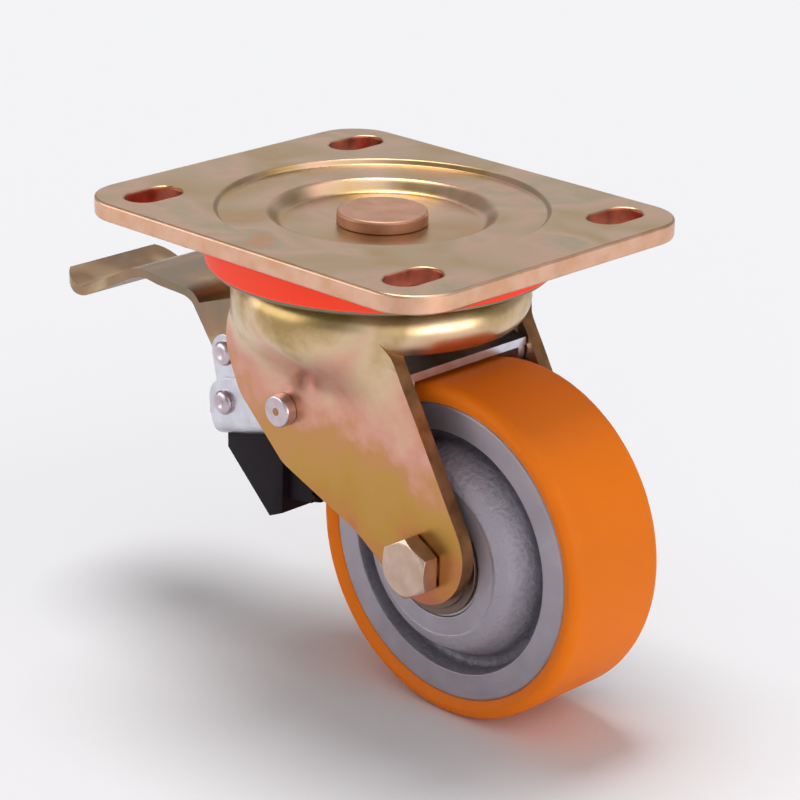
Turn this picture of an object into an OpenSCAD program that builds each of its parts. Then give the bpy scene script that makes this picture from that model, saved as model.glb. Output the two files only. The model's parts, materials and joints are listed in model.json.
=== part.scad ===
// Swivel castor: a pressed steel fork on a double ball race under a slotted top plate,
// a polyurethane tyre on a cast iron wheel, and a pedal brake that works through a toggle.
// The origin is on the swivel axis at the mounting face. +Z is up, +Y points from the swivel
// axis to the wheel, and the axle lies along X. All sizes are millimetres and degrees.
// Side profiles are drawn as [y, z] and then run along the axle's direction.

/* [Top plate] */
// Length of the top plate, along Y
plate_l = 138; // [130:1:160]
// Width of the top plate, along X
plate_w = 116; // [110:1:140]
// Thickness of the plate's sheet
plate_t = 5.5; // [4.5:0.1:7]
// Corner radius of the plate
plate_corner_r = 15; // [6:0.5:20]
// Width of a bolt slot
slot_w = 11; // [8:0.5:13]
// Length of a bolt slot, along X, end to end
slot_l = 18.5; // [15:0.5:22]
// Distance between the slots, along X
slot_spacing_x = 83; // [78:0.5:88]
// Distance between the slots, along Y
slot_spacing_y = 105; // [98:0.5:112]
// Radius of the pressed dish
dish_r = 49; // [48:0.1:51]
// Depth of the dish below the mounting face
dish_depth = 1.5; // [1:0.1:2.5]
// Radius of the inner well at its rim
well_r = 34; // [31:0.1:35]
// Depth of the inner well below the mounting face
well_depth = 5.1; // [3.5:0.1:6]

/* [Swivel bearing] */
// Diameter of the kingpin
kingpin_d = 16; // [12:0.5:18]
// Diameter of the kingpin's flat head
kingpin_head_d = 26.6; // [22:0.2:30]
// Height of the kingpin's flat head
kingpin_head_h = 3.8; // [2.5:0.1:4.5]
// Diameter of the upper balls
upper_ball_d = 8.8; // [8:0.1:9.5]
// Radius of the upper ball row
upper_row_r = 39.5; // [38.5:0.1:40.5]
// Diameter of the lower balls
lower_ball_d = 6.4; // [5.5:0.1:7]
// Radius of the lower ball row
lower_row_r = 19.5; // [18.5:0.1:21]
// Depth of each ball groove
groove_depth = 0.8; // [0.5:0.1:1.2]
// Play between the balls and the race that turns past them
ball_play = 0.15; // [0.1:0.05:0.3]
// Thickness of the upper race ring
race_t = 2.7; // [2:0.1:4]
// Outer radius of the race ring's lip and of the dust seal
lip_r = 52; // [51:0.1:54]
// Thickness of the lower race cup
cup_t = 3.5; // [2.5:0.1:5]
// Radial thickness of the dust seal
seal_t = 2.8; // [2:0.1:3]

/* [Fork] */
// Outer radius of the fork's crown
crown_r = 44; // [42.5:0.1:46]
// Thickness of the crown's sheet
crown_t = 4.5; // [3.5:0.1:5]
// Radius of the crown's rolled shoulder
shoulder_r = 8.5; // [7.5:0.1:9.5]
// Angle below the horizontal where the crown's roll ends
roll_end = 44.9; // [35:0.1:50]
// Clear width between the legs
fork_gap = 49; // [48:0.1:52]
// Thickness of a leg
leg_t = 4.5; // [3.5:0.1:5]
// Height over which a leg draws in from the round crown to its flat
draw_h = 24; // [20:0.5:26]
// Radius of the leg's lower end
leg_end_r = 16.2; // [15:0.1:17.5]

/* [Wheel] */
// Diameter of the wheel
wheel_d = 100; // [96:1:104]
// Width of the tread
tread_w = 36; // [32:0.5:38]
// Thickness of the tyre on the rim
tyre_t = 5.8; // [4:0.1:8]
// Radius of the tyre's edges
tyre_edge_r = 3; // [1:0.1:4]
// Trail, from the swivel axis to the axle
trail = 44.4; // [42:0.1:47]
// Gap between the crown's skirt and the tread
tread_gap = 8.5; // [7.5:0.1:12]
// Length of the hub
hub_l = 45; // [42:0.1:46]
// Radius of the hub at its machined face
hub_r = 23; // [21.5:0.1:24]
// Width of the rim over its machined faces
rim_w = 34; // [30:0.5:36]
// Radial width of the rim's machined face
rim_face = 7.7; // [5:0.1:9]
// Half thickness of the wheel's web
web_half = 8; // [5:0.1:9]

/* [Wheel bearings] */
// Outer diameter of a bearing
bearing_od = 35; // [32:0.5:38]
// Bore of a bearing
bearing_bore = 15; // [12:0.5:17]
// Width of a bearing
bearing_w = 11; // [9:0.1:12]
// Diameter of a bearing ball
bearing_ball_d = 6; // [4.5:0.1:6.5]
// Number of balls in a bearing
bearing_balls_n = 8; // [6:1:9]
// Diameter of the axle bolt
axle_d = 10; // [8:0.5:11]
// Width across the flats of the axle bolt's head and of its nut
axle_af = 16; // [15:0.5:18]
// Height of the axle bolt's head
axle_head_h = 6.4; // [5:0.1:8]
// Height of the axle nut
axle_nut_h = 8.4; // [6:0.1:10]

/* [Brake] */
// Distance of the brake pin from the tread
brake_pin_gap = 13.1; // [12:0.1:15]
// Direction of the brake pin as seen from the axle
brake_pin_angle = 149.5; // [148.5:0.1:151]
// Diameter of the brake pin
brake_pin_d = 8; // [6:0.5:9]
// Diameter of the brake pin's head
brake_pin_head_d = 10.4; // [10:0.2:13]
// Thickness of the brake bracket's sheet
bracket_t = 2.5; // [1.5:0.1:2.8]
// Thickness of a toggle link
link_t = 2.2; // [1.5:0.1:2.4]
// Thickness of the pedal's sheet
pedal_t = 2.8; // [2:0.1:3.2]
// Thickness of the pedal's ears
ear_t = 2.2; // [1.5:0.1:3]
// Width of the pedal's tread
pedal_w = 43; // [38:0.5:48]
// Reach of the pedal behind the swivel axis
pedal_reach = 120.5; // [110:0.5:130]
// Diameter of the rivets' shanks
rivet_d = 5.2; // [4:0.1:6]
// Diameter of the rivets' heads
rivet_head_d = 7.6; // [6.8:0.1:9]
// Diameter of the pedal's pin
pedal_pin_d = 5.5; // [4.5:0.1:6]
// Angle that the brake bracket turns through until the shoe grips
brake_angle = 5.5; // [4:0.1:6]
// Width of the shoe's block
shoe_w = 40; // [34:0.5:41]
// Width of the shoe's serrated pad
pad_w = 28; // [20:0.5:32]

/* [Fits] */
// Radial clearance of a pin in a bore that turns on it
run_fit = 0.06; // [0.02:0.01:0.1]
// Radial clearance of a pin in a bore that it doesn't turn in
set_fit = 0.02; // [0.01:0.01:0.05]
// Extra radial clearance at the pedal's open toggle pivot
open_fit = 0.45; // [0.4:0.05:0.6]
// Gap between flat faces that slide past each other
side_gap = 0.3; // [0.2:0.05:0.4]
// Gap between the shoe and the tread when the brake is on
grip_gap = 0.3; // [0.2:0.05:0.5]

/* [Hidden] */

$fn = 96;
lap = 1;

zinc_gold = "#C2A078";
zinc_blue = "#B9C4D2";
steel = "#B8B4AE";

// Levels of the swivel bearing, from the mounting face down
annulus_z = -dish_depth - plate_t;
upper_ball_r = upper_ball_d / 2;
upper_ball_z = annulus_z + groove_depth - ball_play - upper_ball_r;
race_top_z = upper_ball_z - upper_ball_r + groove_depth;
crown_z = race_top_z - race_t;
skirt_z = crown_z - shoulder_r * (1 + sin(roll_end));
lower_ball_r = lower_ball_d / 2;
lower_ball_z = crown_z - crown_t + groove_depth - ball_play - lower_ball_r;
cup_top_z = lower_ball_z - lower_ball_r + groove_depth;
cup_z = cup_top_z - cup_t;
cup_rim_t = 2;
cup_r = lower_row_r + lower_ball_r + 1.3 + cup_rim_t;
cup_rim_h = 4.2;
kingpin_r = kingpin_d / 2;
kingpin_nut_af = kingpin_d * 1.5;
kingpin_nut_h = 6.5;
thread_stand = 1.2;
crown_hole_r = kingpin_r + 0.6;
crown_top_r = crown_r - shoulder_r;
race_inner_r = 30;
dish_ramp = 1.8;
well_ramp = 5;
press_tuck = 1.4;

// Places of the wheel
tread_r = wheel_d / 2;
rim_r = tread_r - tyre_t;
axle_z = skirt_z - tread_gap - tread_r;
axle = [trail, axle_z];
leg_in = fork_gap / 2;
leg_out = leg_in + leg_t;
hub_half = hub_l / 2;
bearing_r = bearing_od / 2;
sleeve_r = bearing_bore / 2;
bearing_out = hub_half - 0.5;
bearing_in = bearing_out - bearing_w;
ball_circle_r = (bearing_r + sleeve_r) / 2;
ring_wall = 2.5;

// Places of the brake's pivots, as [y, z]
brake_pin = axle + (tread_r + brake_pin_gap) * [cos(brake_pin_angle), sin(brake_pin_angle)];
pedal_pin_in = 13;
pedal_pin_drop = 4.5;
ear_back = 13;
ear_drop = 15.45;
bracket_back = 31;
bracket_drop = 7.5;
pedal_pin = [pedal_pin_in - crown_r, skirt_z - pedal_pin_drop];
upper_pivot = pedal_pin - [ear_back, ear_drop];
lower_pivot = brake_pin - [bracket_back, bracket_drop];
bracket_out = leg_in - side_gap;
bracket_in = bracket_out - bracket_t;
link_out = bracket_in - side_gap;
link_in = link_out - link_t;
ear_out = link_in - side_gap;
ear_in = ear_out - ear_t;
rivet_head_h = 2;
pivot_r = 5.8;
bar_back = 15;
bar_rise = 0.7;
web_end_back = 8;
web_end_drop = 12.8;

// The pedal's bends: how far behind the toggle's pivot, and how far below the crown's skirt
trough_in = 9.5;
trough_drop = 17.4;
lip_drop = 12.9;
hump_back = 38.5;
hump_drop = 3.1;
elbow_back = 17.5;
elbow_drop = 6;
foot_back = 5.2;
foot_drop = 2.6;

// A point list along an arc
function arc(c, r, from, to, n = 12) =
    [for (i = [0 : n]) c + r * [cos(from + (to - from) * i / n), sin(from + (to - from) * i / n)]];

function unit(v) = v / norm(v);

// The arc of radius r that rounds the corner at q, on the way from p to s
function corner(p, q, s, r, n = 8) =
    let (
        u = unit(p - q),
        v = unit(s - q),
        half = acos(u * v) / 2,
        c = q + unit(u + v) * r / sin(half),
        from = q + u * r / tan(half) - c,
        to = q + v * r / tan(half) - c,
        a = atan2(from[1], from[0]),
        turn = ((atan2(to[1], to[0]) - a + 540) % 360) - 180
    )
    arc(c, r, a, a + turn, n);

// An open path with its inner corners rounded
function rounded_path(p, radii) =
    concat(
        [p[0]],
        [for (i = [1 : len(p) - 2]) each corner(p[i - 1], p[i], p[i + 1], radii[i - 1])],
        [p[len(p) - 1]]);

// A closed outline with its corners rounded, where a radius of 0 keeps the corner
function rounded_loop(p, radii) =
    let (n = len(p))
    [for (i = [0 : n - 1])
        each (radii[i] > 0 ? corner(p[(i + n - 1) % n], p[i], p[(i + 1) % n], radii[i]) : [p[i]])];

function smooth(t) = let (c = min(max(t, 0), 1)) c * c * (3 - 2 * c);

// A smooth S between two points of a turned profile
function ramp(a, b, n = 8) =
    [for (i = [0 : n]) [a[0] + (b[0] - a[0]) * i / n, a[1] + (b[1] - a[1]) * smooth(i / n)]];

// The path moved sideways by h
function beside(p, h) =
    [for (i = [0 : len(p) - 1])
        let (d = unit(p[min(i + 1, len(p) - 1)] - p[max(i - 1, 0)]))
        p[i] + h * [-d[1], d[0]]];

function reversed(p) = [for (i = [len(p) - 1 : -1 : 0]) p[i]];

// The point where the tangent from p touches a circle, on the side given by 1 or -1
function touch(p, c, r, side) =
    let (
        d = norm(c - p),
        a = atan2(c[1] - p[1], c[0] - p[0]) + side * asin(r / d),
        l = sqrt(d * d - r * r)
    )
    p + l * [cos(a), sin(a)];

// Outline of a link with round ends
module link_2d(a, ra, b, rb) {
    d = norm(b - a);
    base = atan2(b[1] - a[1], b[0] - a[0]);
    lean = acos((ra - rb) / d);
    up = [cos(base + lean), sin(base + lean)];
    down = [cos(base - lean), sin(base - lean)];
    translate(a) circle(ra);
    translate(b) circle(rb);
    polygon([a + ra * up, a + ra * down, b + rb * down, b + rb * up]);
}

// Runs a side profile from x0 to x1
module across(x0, x1) {
    translate([x0, 0, 0]) rotate([90, 0, 90]) linear_extrude(x1 - x0) children();
}

// A round bar or bore across the castor, from x0 to x1
module cross_bar(p, r, x0, x1) {
    translate([x0, p[0], p[1]]) rotate([0, 90, 0]) cylinder(r = r, h = x1 - x0);
}

// Turns a profile of radius and x about the line across the castor at p
module turned_at(p) {
    translate([0, p[0], p[1]]) rotate([0, 90, 0]) rotate_extrude() children();
}

module both_sides() {
    children();
    mirror([1, 0, 0]) children();
}

module rounded_rect(l, w, r) {
    square([l - 2 * r, w], center = true);
    square([l, w - 2 * r], center = true);
    for (x = [-1, 1], y = [-1, 1]) translate([x * (l / 2 - r), y * (w / 2 - r)]) circle(r);
}

module torus(row_r, z, r) {
    rotate_extrude() translate([row_r, z]) circle(r, $fn = 48);
}

module ball_row(row_r, z, r, gap) {
    n = floor(360 / (2 * asin((r + gap / 2) / row_r)));
    for (i = [0 : n - 1]) rotate(360 * i / n) translate([row_r, 0, z]) sphere(r, $fn = 32);
}

// A hexagon with its corners turned off on the side away from z = 0
module hex(af, h, chamfer = true) {
    corner_r = af / 2 / cos(30);
    intersection() {
        cylinder(r = corner_r, h = h, $fn = 6);
        union() {
            cylinder(r = corner_r + 0.1, h = h - 1.1);
            if (chamfer) translate([0, 0, h - 1.1]) cylinder(r1 = corner_r + 0.1, r2 = af / 2 - 0.5, h = 1.1);
            else translate([0, 0, h - 1.2]) cylinder(r = corner_r + 0.1, h = 1.2);
        }
    }
}

// Profile of the pressed dish, from its middle out to the flat of the plate
function dish_profile(tuck, z) = concat(
    [[0, z - well_depth]],
    ramp([well_r - well_ramp - tuck, z - well_depth], [well_r - tuck, z - dish_depth]),
    ramp([dish_r - dish_ramp - tuck, z - dish_depth], [dish_r - tuck, z]));

module top_plate() {
    color(zinc_gold)
    difference() {
        union() {
            translate([0, 0, -plate_t]) linear_extrude(plate_t)
                rounded_rect(plate_w, plate_l, plate_corner_r);
            rotate_extrude() polygon(concat(
                dish_profile(press_tuck, -plate_t),
                [[dish_r - press_tuck, lap - plate_t], [0, lap - plate_t]]));
        }
        rotate_extrude() polygon(concat(dish_profile(0, 0), [[dish_r, lap], [0, lap]]));
        translate([0, 0, -plate_t - well_depth - lap]) cylinder(r = kingpin_r, h = plate_t + 2 * lap);
        torus(upper_row_r, upper_ball_z, upper_ball_r + ball_play);
        for (x = [-1, 1], y = [-1, 1])
            translate([x * slot_spacing_x / 2, y * slot_spacing_y / 2, -plate_t - lap])
            linear_extrude(plate_t + 2 * lap) {
                run = (slot_l - slot_w) / 2;
                square([2 * run, slot_w], center = true);
                for (s = [-run, run]) translate([s, 0]) circle(slot_w / 2);
            }
    }
}

module kingpin() {
    edge = 0.5;
    head_r = kingpin_head_d / 2;
    z = -well_depth;
    color(zinc_gold)
    rotate_extrude() polygon([
        [0, cup_z - kingpin_nut_h - thread_stand],
        [kingpin_r - 1, cup_z - kingpin_nut_h - thread_stand],
        [kingpin_r, cup_z - kingpin_nut_h - thread_stand + 1],
        [kingpin_r, z],
        [head_r, z],
        [head_r, z + kingpin_head_h - edge],
        [head_r - edge, z + kingpin_head_h],
        [0, z + kingpin_head_h]]);
}

module kingpin_nut() {
    color(steel)
    difference() {
        translate([0, 0, cup_z]) mirror([0, 0, 1]) hex(kingpin_nut_af, kingpin_nut_h);
        translate([0, 0, cup_z - kingpin_nut_h - lap]) cylinder(r = kingpin_r, h = kingpin_nut_h + 2 * lap);
    }
}

module lower_race() {
    color(zinc_gold)
    difference() {
        rotate_extrude() polygon([
            [kingpin_r, cup_z],
            [cup_r - 1, cup_z],
            [cup_r, cup_z + 1],
            [cup_r, cup_top_z + cup_rim_h],
            [cup_r - cup_rim_t, cup_top_z + cup_rim_h],
            [cup_r - cup_rim_t, cup_top_z],
            [kingpin_r, cup_top_z]]);
        torus(lower_row_r, lower_ball_z, lower_ball_r + set_fit);
    }
}

module lower_balls() {
    color(steel) ball_row(lower_row_r, lower_ball_z, lower_ball_r, 1.6);
}

module race_ring() {
    edge = 1;
    color(zinc_gold)
    difference() {
        rotate_extrude() polygon(rounded_loop(
            [[race_inner_r, crown_z], [lip_r, crown_z], [lip_r, race_top_z], [race_inner_r, race_top_z]],
            [0, edge, edge, 0]));
        torus(upper_row_r, upper_ball_z, upper_ball_r + set_fit);
    }
}

module dust_seal() {
    z1 = -plate_t - side_gap;
    color("#F54B2D")
    rotate_extrude() polygon([
        [lip_r - seal_t, race_top_z],
        [lip_r, race_top_z],
        [lip_r, z1 - 1.2],
        [lip_r - 0.8, z1],
        [lip_r - seal_t, z1]]);
}

module upper_balls() {
    color(steel) ball_row(upper_row_r, upper_ball_z, upper_ball_r, 1.2);
}

// The round crown of the fork: a flat top that ends in a roll, whose lower edge is rounded
module crown() {
    c = [crown_top_r, crown_z - shoulder_r];
    edge_r = 1.2;
    rotate_extrude() {
        polygon(concat(
            [[crown_hole_r, crown_z]],
            arc(c, shoulder_r, 90, -roll_end + 8, 18),
            arc(c + (shoulder_r - edge_r) * [cos(roll_end), -sin(roll_end)], edge_r, -roll_end + 8, -roll_end - 82, 6),
            arc(c, shoulder_r - crown_t, -roll_end, 90, 12),
            [[crown_hole_r, crown_z - crown_t]]));
    }
}

// The leg is drawn in from the crown's circle to a flat. sheet_x gives the distance from the
// middle plane to a face of the sheet that has the radius r in the crown and lies at x in the flat.
leg_top = crown_z - shoulder_r;
draw_top = leg_top - 2.5;
draw_bottom = draw_top - draw_h;
inset = 0.1;
function drawn(z) = smooth((z - draw_bottom) / (draw_top - draw_bottom));
function sheet_x(y, z, r, x) =
    let (
        w = drawn(z),
        a = sqrt(max(r * r - y * y, 0)) - x,
        k = 0.2 + 6 * (1 - w)
    )
    x + w * (a + sqrt(a * a + k * k)) / 2;

// Edges of the leg. The rear edge bows out behind the crown, and the front edge is a straight
// line from the crown's skirt that touches the round end.
leg_end = axle + [0.9, 4.75];
front_start = [crown_r - 11.1, skirt_z];
front_touch = touch(front_start, leg_end, leg_end_r, 1);
bow_z = skirt_z - 9.5;
bow = 46;
function rear_y(z) = 9.3 - crown_r + pow(z - bow_z, 2) / bow;
function front_y(z) =
    front_start[0] + (z - front_start[1]) * (front_touch[0] - front_start[0]) / (front_touch[1] - front_start[1]);

// The drawn part of a leg, as a net of points on its outer and inner face
module drawn_leg() {
    rows = 14;
    cols = 20;
    span = cols + 1;
    faces_n = (rows + 1) * span;
    function z_at(i) = leg_top + (draw_bottom - leg_top) * i / rows;
    function y_at(i, j) = rear_y(z_at(i)) + (front_y(z_at(i)) - rear_y(z_at(i))) * j / cols;
    function net(r, x) = [for (i = [0 : rows], j = [0 : cols])
        [sheet_x(y_at(i, j), z_at(i), r, x), y_at(i, j), z_at(i)]];
    function quad(a, b, c, d) = [[a, b, c], [a, c, d]];
    function at(i, j) = i * span + j;
    function under(i, j) = faces_n + at(i, j);
    points = concat(net(crown_r - inset, leg_out), net(crown_r - crown_t + inset, leg_in));
    faces = concat(
        [for (i = [0 : rows - 1], j = [0 : cols - 1])
            each quad(at(i, j), at(i, j + 1), at(i + 1, j + 1), at(i + 1, j))],
        [for (i = [0 : rows - 1], j = [0 : cols - 1])
            each quad(under(i, j), under(i + 1, j), under(i + 1, j + 1), under(i, j + 1))],
        [for (j = [0 : cols - 1]) each quad(at(0, j), under(0, j), under(0, j + 1), at(0, j + 1))],
        [for (j = [0 : cols - 1])
            each quad(at(rows, j), at(rows, j + 1), under(rows, j + 1), under(rows, j))],
        [for (i = [0 : rows - 1]) each quad(at(i, 0), at(i + 1, 0), under(i + 1, 0), under(i, 0))],
        [for (i = [0 : rows - 1])
            each quad(at(i, cols), under(i, cols), under(i + 1, cols), at(i + 1, cols))]);
    polyhedron(points, faces, convexity = 4);
}

// Outline of the flat part of a leg, below the drawn part
module flat_leg_2d() {
    heel = brake_pin - [1, 17.1];
    waist = leg_end - [25.2, 2.3];
    rear = [rear_y(draw_bottom), draw_bottom];
    knee = rear + [2.8, -6];
    low_touch = touch(waist, leg_end, leg_end_r, -1);
    low_a = atan2(low_touch[1] - leg_end[1], low_touch[0] - leg_end[0]);
    front_a = atan2(front_touch[1] - leg_end[1], front_touch[0] - leg_end[0]);
    polygon(concat(
        rounded_path([rear, knee, heel, waist, low_touch], [12, 10, 40]),
        arc(leg_end, leg_end_r, low_a, front_a, 24),
        [[front_y(draw_bottom), draw_bottom]]));
}

module fork() {
    seat = 1.5;
    pin_end = sheet_x(pedal_pin[0], pedal_pin[1], crown_r - crown_t, leg_in) + seat;
    color(zinc_gold)
    difference() {
        union() {
            crown();
            both_sides() {
                drawn_leg();
                across(leg_in, leg_out) flat_leg_2d();
            }
        }
        torus(lower_row_r, lower_ball_z, lower_ball_r + ball_play);
        cross_bar(axle, axle_d / 2 + set_fit, -leg_out - lap, leg_out + lap);
        cross_bar(brake_pin, brake_pin_d / 2 + set_fit, -leg_out - lap, leg_out + lap);
        cross_bar(pedal_pin, pedal_pin_d / 2 + set_fit, -pin_end, pin_end);
    }
}

// The hexagon bolt that carries the wheel, its washer and its nut
washer_t = 2;
module axle_bolt() {
    face_t = 0.6;
    tip = leg_out + washer_t + axle_nut_h + 2.5;
    color("#C9AA8F")
    translate([leg_out, axle[0], axle[1]]) rotate([0, 90, 0]) {
        cylinder(r = axle_af / 2 - 0.6, h = face_t);
        translate([0, 0, face_t]) hex(axle_af, axle_head_h - face_t);
        translate([0, 0, -leg_out - tip]) cylinder(r1 = axle_d / 2 - 1, r2 = axle_d / 2, h = 1);
        translate([0, 0, 1 - leg_out - tip]) cylinder(r = axle_d / 2, h = leg_out + tip - 1);
    }
}

module axle_washer() {
    color(zinc_blue)
    difference() {
        cross_bar(axle, axle_d, -leg_out - washer_t, -leg_out);
        cross_bar(axle, axle_d / 2 + set_fit, -leg_out - washer_t - lap, -leg_out + lap);
    }
}

module axle_nut() {
    color(zinc_blue)
    difference() {
        translate([-leg_out - washer_t, axle[0], axle[1]]) rotate([0, -90, 0])
            hex(axle_af, axle_nut_h);
        cross_bar(axle, axle_d / 2 + set_fit, -leg_out - washer_t - axle_nut_h - lap, -leg_out);
    }
}

// The sleeve that the bolt clamps between the legs, with both bearings on it
module axle_sleeve() {
    color(steel)
    turned_at(axle)
        translate([axle_d / 2 + set_fit, -leg_in]) square([sleeve_r - axle_d / 2 - set_fit, 2 * leg_in]);
}

module spacer_tube() {
    color(steel)
    turned_at(axle)
        translate([sleeve_r + set_fit, -bearing_in]) square([ring_wall - 0.5, 2 * bearing_in]);
}

// Stepped washers that cover the bearings and rest on the legs
module dust_washers() {
    cover_r = bearing_r - 0.9;
    cover_t = 0.9;
    step_r = bearing_r - 3.1;
    color("#C9A878")
    both_sides() turned_at(axle) polygon([
        [sleeve_r + set_fit, bearing_out],
        [sleeve_r + ring_wall, bearing_out],
        [sleeve_r + ring_wall, bearing_out + side_gap],
        [cover_r, bearing_out + side_gap],
        [cover_r, bearing_out + side_gap + cover_t],
        [step_r, bearing_out + side_gap + cover_t],
        [step_r, leg_in],
        [sleeve_r + set_fit, leg_in]]);
}

// A bearing ring between two radii, with its ball groove
module bearing_rings(r0, r1, play) {
    mid = (bearing_out + bearing_in) / 2;
    both_sides() difference() {
        turned_at(axle) polygon(rounded_loop(
            [[r0, bearing_in], [r1, bearing_in], [r1, bearing_out], [r0, bearing_out]],
            [0.4, 0.4, 0.4, 0.4]));
        turned_at(axle) translate([ball_circle_r, mid]) circle(bearing_ball_d / 2 + play, $fn = 48);
    }
}

module bearing_inner_rings() {
    color(steel) bearing_rings(sleeve_r + set_fit, sleeve_r + ring_wall, 0.1);
}

module bearing_outer_rings() {
    color(steel) bearing_rings(bearing_r - ring_wall, bearing_r, set_fit);
}

module bearing_balls() {
    mid = (bearing_out + bearing_in) / 2;
    color(steel)
    both_sides() translate([mid, axle[0], axle[1]])
        for (i = [0 : bearing_balls_n - 1])
            rotate([360 * i / bearing_balls_n, 0, 0]) translate([0, ball_circle_r, 0])
            sphere(bearing_ball_d / 2, $fn = 32);
}

module bearing_shields() {
    shield_t = 0.6;
    r0 = sleeve_r + ring_wall + side_gap;
    color("#8F8C88")
    both_sides() turned_at(axle)
        for (x = [bearing_in + 0.4, bearing_out - 0.4 - shield_t])
            translate([r0, x]) square([bearing_r - ring_wall - r0, shield_t]);
}

// The cast wheel: hub, dished web and rim, with the bearings' seats turned in the hub
module wheel_core() {
    face_r = rim_r - rim_face;
    groove_r = face_r - 3.3;
    half = concat(
        [[bearing_r - 3.5, bearing_in], [bearing_r, bearing_in], [bearing_r, hub_half]],
        rounded_path(
            [[hub_r, hub_half], [groove_r - 6, hub_half - 1.7], [groove_r - 1.8, web_half + 5.5],
                [groove_r, web_half], [face_r - 0.6, web_half + 3.5], [face_r, rim_w / 2]],
            [6, 6, 2, 2]),
        [[rim_r - 0.4, rim_w / 2], [rim_r, rim_w / 2 - 0.4]]);
    other = [for (q = reversed(half)) [q[0], -q[1]]];
    color("#8E868E")
    turned_at(axle) polygon(concat(half, other));
}

module tread() {
    half = tread_w / 2;
    color("#EE7C20")
    turned_at(axle) polygon(concat(
        [[rim_r, -rim_w / 2 + 0.4], [rim_r + 0.6, -rim_w / 2 - 0.1]],
        arc([tread_r - tyre_edge_r, -half + tyre_edge_r], tyre_edge_r, -90, 0, 8),
        arc([tread_r - tyre_edge_r, half - tyre_edge_r], tyre_edge_r, 0, 90, 8),
        [[rim_r + 0.6, rim_w / 2 + 0.1], [rim_r, rim_w / 2 - 0.4]]));
}

// The pin that the brake bracket rocks on, with a head outside the near leg
module brake_pin() {
    head_h = 3.8;
    head_r = brake_pin_head_d / 2;
    tail = 3.4;
    color("#C8BDB2")
    difference() {
        turned_at(brake_pin) polygon([
            [0, leg_out + head_h],
            [head_r - 0.5, leg_out + head_h],
            [head_r, leg_out + head_h - 0.5],
            [head_r, leg_out],
            [brake_pin_d / 2, leg_out],
            [brake_pin_d / 2, -leg_out - tail + 0.6],
            [brake_pin_d / 2 - 0.6, -leg_out - tail],
            [0, -leg_out - tail]]);
        turned_at(brake_pin) translate([clip_r, -clip_x - clip_t]) square([3, clip_t]);
    }
}

// Snap ring in the groove at the far end of the brake pin
clip_t = 1.2;
clip_r = brake_pin_d / 2 - 0.7;
clip_x = leg_out + 0.2;
module brake_pin_clip() {
    mouth = 5;
    color("#55504C")
    difference() {
        cross_bar(brake_pin, brake_pin_d / 2 + 2.6, -clip_x - clip_t, -clip_x);
        cross_bar(brake_pin, clip_r + set_fit, -clip_x - clip_t - lap, -clip_x + lap);
        translate([-clip_x - clip_t - lap, brake_pin[0] - mouth / 2, brake_pin[1] - 2 * brake_pin_d])
            cube([clip_t + 2 * lap, mouth, 2 * brake_pin_d]);
    }
}

// The pin that the pedal turns on, set in blind seats in the legs
module pedal_pin() {
    end = sheet_x(pedal_pin[0], pedal_pin[1], crown_r - crown_t, leg_in) + 1.3;
    color(steel) cross_bar(pedal_pin, pedal_pin_d / 2, -end, end);
}

// The line that the bracket's lower web follows, rising towards the wheel
web_rise = 13.8;
web_start = lower_pivot + [-4.4, -12];
web_end = brake_pin - [web_end_back, web_end_drop];

// The rocking bracket: two side plates, a lower web that carries the shoe and a front bar
module brake_bracket() {
    bar = [axle[0] - bar_back, axle[1] + tread_r + bar_rise];
    bar_l = 15;
    web_l = norm(web_end - web_start);
    bend = 4.6;
    flange = 9;
    side_r = 8;
    color(zinc_blue)
    difference() {
        union() {
            both_sides() across(bracket_in, bracket_out) {
                link_2d(lower_pivot, 6.9, brake_pin, side_r);
                link_2d(brake_pin, side_r, bar + [0, -2], 5.5);
                polygon([
                    lower_pivot - [6.8, 1],
                    web_start + flange * [-sin(web_rise), cos(web_rise)] - [0, 2],
                    web_end + [0, 7],
                    brake_pin + [0, 0],
                    lower_pivot + [0, 3]]);
            }
            // Lower channel with its bent corners
            translate([0, web_start[0], web_start[1]]) rotate([web_rise, 0, 0]) rotate([90, 0, 180])
            linear_extrude(web_l) difference() {
                union() {
                    translate([-bracket_out, bend]) square([2 * bracket_out, flange - bend]);
                    translate([-bracket_out + bend, 0]) square([2 * (bracket_out - bend), flange]);
                    for (s = [-1, 1]) translate([s * (bracket_out - bend), bend]) circle(bend);
                }
                translate([-bracket_in, bend]) square([2 * bracket_in, flange]);
                translate([-bracket_out + bend, bracket_t]) square([2 * (bracket_out - bend), flange]);
                for (s = [-1, 1]) translate([s * (bracket_out - bend), bend]) circle(bend - bracket_t);
            }
            // Front bar over the wheel
            translate([-bracket_out, bar[0] - bar_l + 6, bar[1]]) cube([2 * bracket_out, bar_l, bracket_t]);
        }
        cross_bar(brake_pin, brake_pin_d / 2 + run_fit, -leg_out, leg_out);
        cross_bar(lower_pivot, rivet_d / 2 + set_fit, -leg_out, leg_out);
    }
}

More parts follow.
